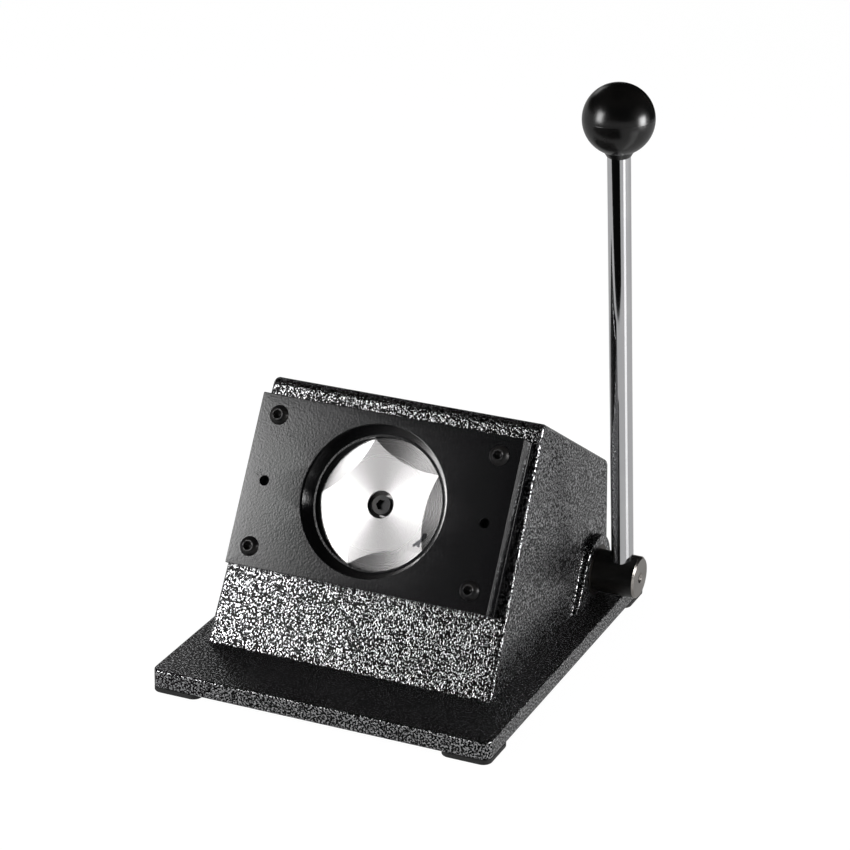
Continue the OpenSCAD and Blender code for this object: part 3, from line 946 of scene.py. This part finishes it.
die_low = guide_t + slot_t
die_high = stack_t - cover_t
cone_r = punch_bore + 1 * MM
rim = 0.35 * MM
die_set_plate(
    "guide_plate_painted", 0, guide_t,
    [(punch_bore, 0), (punch_bore, guide_t - 0.1 * MM), (punch_bore + 0.1 * MM, guide_t)],
    "guide_plate",
)
die_set_plate(
    "die_plate_painted", die_low, die_high,
    [(punch_bore, die_low), (punch_bore, die_low + die_land), (cone_r, die_low + die_land),
     (window_r - 0.1 * MM, die_high)],
    "die_plate",
)
die_set_plate(
    "cover_plate_painted", die_high, stack_t,
    [(window_r, die_high), (window_r, stack_t - rim), (window_r + 0.3 * rim, stack_t - 0.3 * rim),
     (window_r + rim, stack_t)],
    "cover_plate", 2.5 * MM,
)


# ---- shims ----
# Two bright steel strips that hold the paper slot open between the guide and the die.


def coat(material, *names):
    """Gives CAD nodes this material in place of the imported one."""
    for name in names:
        mesh = frame["nodes"][name].data
        mesh.materials.clear()
        mesh.materials.append(material)


ground_steel = grained_material(
    "ground_steel", (0.42, 0.42, 0.43), (0.58, 0.58, 0.59), smooth=0.25, rough=0.4,
    metallic=1.0, depth=0.00001, grain=900, patch=50,
)
coat(ground_steel, "shim_left", "shim_right")


# ---- plate screws ----
# Four M6 button head screws with hex sockets, black oxide, through all three plates into the
# housing's bosses.

button_r = 5.25 * MM
button_h = 3.3 * MM
button_top_r = 2.9 * MM
thread_r = 3 * MM
thread_end = -11 * MM
thread_lead = 0.5 * MM
dome_r = (button_r**2 + button_h**2) / (2 * button_h)
dome_z = stack_t + button_h - dome_r
dome = [(button_r, stack_t), (button_r, stack_t + 0.15 * MM)]
dome_steps = 8
for i in range(1, dome_steps + 1):
    r = button_r - (button_r - button_top_r) * i / dome_steps
    dome.append((r, dome_z + math.sqrt(dome_r**2 - r**2)))
button_screw = turned_shape([
    (0, thread_end), (thread_r - thread_lead, thread_end), (thread_r, thread_end + thread_lead),
    (thread_r, stack_t), *dome,
    *socket_bottom(across_flats=4.0 * MM, rim_r=2.45 * MM, top=dome[-1][1], depth=1.7 * MM,
                   lead=0.25 * MM),
])
set_in_fours(
    "plate_screws", button_screw, across=2 * screw_at[0], along=2 * screw_at[1],
    turn=math.pi / 3, seed=3, material=black_oxide, body="frame",
    replaced=["plate_screw_top_left", "plate_screw_top_right", "plate_screw_bottom_left",
              "plate_screw_bottom_right"],
    place=on_ram,
)


# ---- dowels ----
# Two ground pins line the plates up; their ends sit below the plates' painted face, and are
# coloured near black with almost no shine: painted shade for the deep holes they stand in.

dowel_painted_shade = grained_material(
    "pin_end_painted_shade", (0.002, 0.002, 0.002), (0.008, 0.008, 0.008), smooth=0.5, rough=0.7,
    metallic=0.0, depth=0.00005, grain=1100, patch=300, Specular_IOR_Level=0.05,
)
coat(dowel_painted_shade, "dowel_left", "dowel_right")


# ---- punch ----
# A hard steel punch turned in rings, with five dished shear faces that leave a star with
# curved sides, and a counterbore for its screw.


def turned_metal(name, centre, axis, color, roughness, pitch):
    """Bright metal with lathe rings about an axis, which draw its highlights out to wedges."""
    material, tree, shader = new_material(name, color, roughness, 1.0, Anisotropic=0.6)
    arm = vectors(tree, "SUBTRACT", place_in(tree), centre)
    lift = vectors(tree, "DOT_PRODUCT", arm, axis)
    radial = vectors(tree, "SUBTRACT", arm, vectors(tree, "SCALE", axis, Scale=lift))
    radius = vectors(tree, "LENGTH", radial)
    rings, bands = (
        noise(tree, None, noise_dimensions="1D", W=radius, Scale=scale, Detail=detail)
        for scale, detail in ((1 / pitch, 3.0), (300.0, 2.0))
    )
    give(
        shader, Tangent=radial, Roughness=ramp(tree, bands, roughness * 0.95, roughness * 1.05),
        Normal=bumped(tree, rings, 0.00001, 0.06),
    )
    return material


punch_r = 35 * MM
punch_len = 22 * MM
punch_face = 3.8 * MM
scallop_start = 24.5 * MM
scallop_arc_r = 58 * MM
scallop_slope = math.radians(6)
bolt_sink_r = 7 * MM
bolt_sink = 7 * MM
bolt_sink_lead = 0.3 * MM
bolt_hole_r = 3.2 * MM
star_flat_r = 16 * MM
punch_back_lead = 0.5 * MM
spigot_hole_r = 8.02 * MM
spigot_hole = 4.02 * MM


def star_radius(turn):
    """Distance from the punch's axis to the star's edge, one scallop to each fifth of a turn."""
    off = (turn + math.pi / 5) % (math.tau / 5) - math.pi / 5
    centre = scallop_start + scallop_arc_r
    return centre * math.cos(off) - math.sqrt(scallop_arc_r**2 - (centre * math.sin(off)) ** 2)


def scallop_depth(turn, radius):
    """Depth of the scallop's sphere below the punch face."""
    off = (turn + math.pi / 5) % (math.tau / 5) - math.pi / 5
    centre = scallop_start + scallop_arc_r
    lift = scallop_arc_r / math.tan(scallop_slope)
    ball = math.hypot(scallop_arc_r, lift)
    away = centre**2 + radius**2 - 2 * centre * radius * math.cos(off)
    return max(math.sqrt(ball**2 - away) - lift, 0)


def punch_body(steps=360, rings=8):
    """The whole punch, turned about Z, with its scalloped face upwards."""
    shape = bmesh.new()
    back_end = punch_face - punch_len
    edge = 0.12 * MM
    loops = []

    def loop(radius, z):
        loops.append([
            shape.verts.new((radius(t) * math.cos(t), radius(t) * math.sin(t), z(t)))
            for t in (math.tau * i / steps for i in range(steps))
        ])

    def round_loop(radius, z):
        loop(lambda t: radius, lambda t: z)

    round_loop(bolt_hole_r, back_end + spigot_hole)
    round_loop(bolt_hole_r, punch_face - bolt_sink)
    round_loop(bolt_sink_r, punch_face - bolt_sink)
    round_loop(bolt_sink_r, punch_face - bolt_sink_lead)
    round_loop(bolt_sink_r + bolt_sink_lead, punch_face)
    round_loop(star_flat_r, punch_face)
    for i in range(rings + 1):
        share = i / rings
        loop(
            lambda t: star_radius(t) + (punch_r - edge - star_radius(t)) * share,
            lambda t: punch_face - scallop_depth(
                t, star_radius(t) + (punch_r - edge - star_radius(t)) * share),
        )
    loop(lambda t: punch_r, lambda t: punch_face - edge - scallop_depth(t, punch_r))
    round_loop(punch_r, back_end + punch_back_lead)
    round_loop(punch_r - punch_back_lead, back_end)
    round_loop(spigot_hole_r, back_end)
    round_loop(spigot_hole_r, back_end + spigot_hole)
    walls(shape, loops + loops[:1])
    return shape


def worn_steel():
    """The punch's turned steel, with a smear of old grease and a light scuff on its face."""
    clean = (0.50, 0.49, 0.49)
    material = turned_metal("punch_steel", face_centre, OUT, clean, 0.27, 0.15 * MM)
    tree, shader = inside(material)
    smear = marks_on(tree, punch_face, [
        ((27.6 * MM, -11.4 * MM), (26.6 * MM, -13.6 * MM), 1.5 * MM),
        ((26.0 * MM, -14.2 * MM), (23.0 * MM, -17.2 * MM), 1.0 * MM),
        ((25.6 * MM, -15.4 * MM), (25.2 * MM, -17.2 * MM), 0.9 * MM),
        ((-20.4 * MM, 1.9 * MM), (-17.2 * MM, 0.6 * MM), 0.18 * MM),
    ])
    give(shader, Base_Color=mixed(tree, smear, (*clean, 1), (0.10, 0.10, 0.105, 1)))
    return material


finished(
    "punch_ground", punch_body(), worn_steel(), "ram_set", ["punch"], on_ram, 2.5
)
coat(black_oxide, "punch_screw")


# ---- ram, cap and return spring ----
# Inside the housing a hardened ram slides in a bronze bush; a spring pushes its cap back on
# to the cam.

ram_steel = turned_metal(
    "ram_steel", face_centre, OUT, (0.55, 0.55, 0.56), 0.25, 0.4 * MM
)
coat(ram_steel, "ram", "ram_cap")
spring_steel = grained_material(
    "spring_steel", (0.25, 0.25, 0.26), (0.4, 0.4, 0.41), smooth=0.25, rough=0.4,
    metallic=1.0, depth=0.00001, grain=900, patch=90,
)
coat(spring_steel, "cam_pin")

# The coil is a copy of the CAD spring's mesh, and stays on the frame at the guide tube.
coil = bmesh.new()
coil.from_mesh(frame["nodes"]["return_spring"].data)
return_coil = finished(
    "return_coil", coil, spring_steel, "frame", ["return_spring"], sharp=60
)
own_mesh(return_coil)
bronze = grained_material(
    "bronze", (0.42, 0.25, 0.10), (0.55, 0.36, 0.17), smooth=0.28, rough=0.42,
    metallic=1.0, depth=0.00001, grain=1000, patch=80,
)
coat(bronze, "ram_bush", "shaft_bush_left", "thrust_washer")


# ---- shaft and cam ----
# A blackened steel shaft through both pads turns the cam; its right end is faced bright, with
# a centre drill, and cross drilled for the lever's rod. A snap ring holds the left end.

oiled_iron = grained_material(
    "oiled_iron", (0.02, 0.018, 0.016), (0.05, 0.045, 0.04), smooth=0.35, rough=0.5,
    metallic=0.6, depth=0.00003, grain=700, patch=120,
)
coat(oiled_iron, "shaft_bush_right", "cam")
coat(black_oxide, "retaining_ring")
shaft_end_x = centre_x + 107.5 * MM
faced_depth = 1.15 * MM
shaft_steel = turned_metal(
    "shaft_steel", (0, shaft_axis.y, shaft_axis.z), (1, 0, 0), (0.42, 0.39, 0.36), 0.3, 0.3 * MM
)
tree, shader = inside(shaft_steel)
across = node(tree, "ShaderNodeSeparateXYZ", place_in(tree)).outputs["X"]
faced = maths(tree, "GREATER_THAN", across, shaft_end_x - faced_depth)
surface = node(tree, "ShaderNodeGroup", node_tree=fine_grain, Vector=place_in(tree)).outputs
oxide = mixed(tree, surface["Patches"], (0.008, 0.0078, 0.0075, 1), (0.022, 0.02, 0.018, 1))
give(
    shader, Base_Color=mixed(tree, faced, oxide, (0.34, 0.32, 0.30, 1)),
    Roughness=ramp(tree, faced, 0.35, 0.28), Metallic=ramp(tree, faced, 0.2, 1.0),
)
coat(shaft_steel, "handle_shaft")


# ---- lever rod ----
# A 12 mm steel rod, ground, polished and chromed, pressed into the shaft's cross hole.

chrome = grained_material(
    "chrome", (0.74, 0.74, 0.76), (0.80, 0.80, 0.81), smooth=0.05, rough=0.09,
    metallic=1.0, depth=0.000001, grain=300, patch=40,
)
coat(chrome, "handle_rod")


# ---- knob ----
# A moulded black phenolic ball with a short taper neck, screwed on to the rod over a brass
# insert. The mould left a faint parting line round the ball.

ball_r = 18.4 * MM
neck_r = 8.3 * MM
neck_tip_r = 6.5 * MM
neck_end = 19.7 * MM
insert_hole_r = 5.22 * MM
insert_hole = 16 * MM
rod_lean = math.radians(8)
lever_len = 267.6 * MM
along_rod = Vector((0, -math.sin(rod_lean), math.cos(rod_lean)))
rod_x = centre_x + 97.4 * MM
ball_centre = Vector((rod_x, shaft_axis.y, shaft_axis.z)) + along_rod * lever_len


def knob_profile():
    """The knob's half outline from the insert's hole, up the neck and over the ball."""
    seam = 0.4 * MM
    root = math.acos((neck_r + seam) / ball_r)
    points = [
        (0, insert_hole - neck_end), (insert_hole_r, insert_hole - neck_end),
        (insert_hole_r, -neck_end), (neck_tip_r - 0.3 * MM, -neck_end),
        (neck_tip_r, -neck_end + 0.25 * MM),
        (neck_r - 0.05 * MM, -ball_r * math.sin(root) - 0.1 * MM),
    ]
    steps = 60
    for i in range(steps + 1):
        rise = -root + (root + math.pi / 2) * i / steps
        points.append((ball_r * math.cos(rise) if i < steps else 0, ball_r * math.sin(rise)))
    return points


def moulded_plastic():
    """Black plastic, hand polished, with fine wear and the trace of the mould's joint."""
    material = grained_material(
        "black_plastic", (0.003, 0.003, 0.003), (0.006, 0.0055, 0.005), smooth=0.2, rough=0.28,
        metallic=0.0, depth=0.000004, grain=1400, patch=90,
    )
    tree, shader = inside(material)
    arm = vectors(tree, "SUBTRACT", place_in(tree), ball_centre)
    rise = vectors(tree, "DOT_PRODUCT", arm, Vector((-0.06, 0, 1)).normalized())
    off = maths(tree, "ABSOLUTE", rise)
    seam = ramp(tree, off, 0.0, 1.0, 0.35 * MM, 0.1 * MM, smooth=True)
    grain = tree.nodes["Bump"].outputs[0]
    give(shader, Normal=bumped(tree, seam, 0.00003, normal=grain))
    return material


finished(
    "knob_moulded", turned_shape(knob_profile(), 96), moulded_plastic(), "lever", ["knob"],
    axes_matrix(ball_centre, along_rod),
)
coat(bronze, "knob_insert")
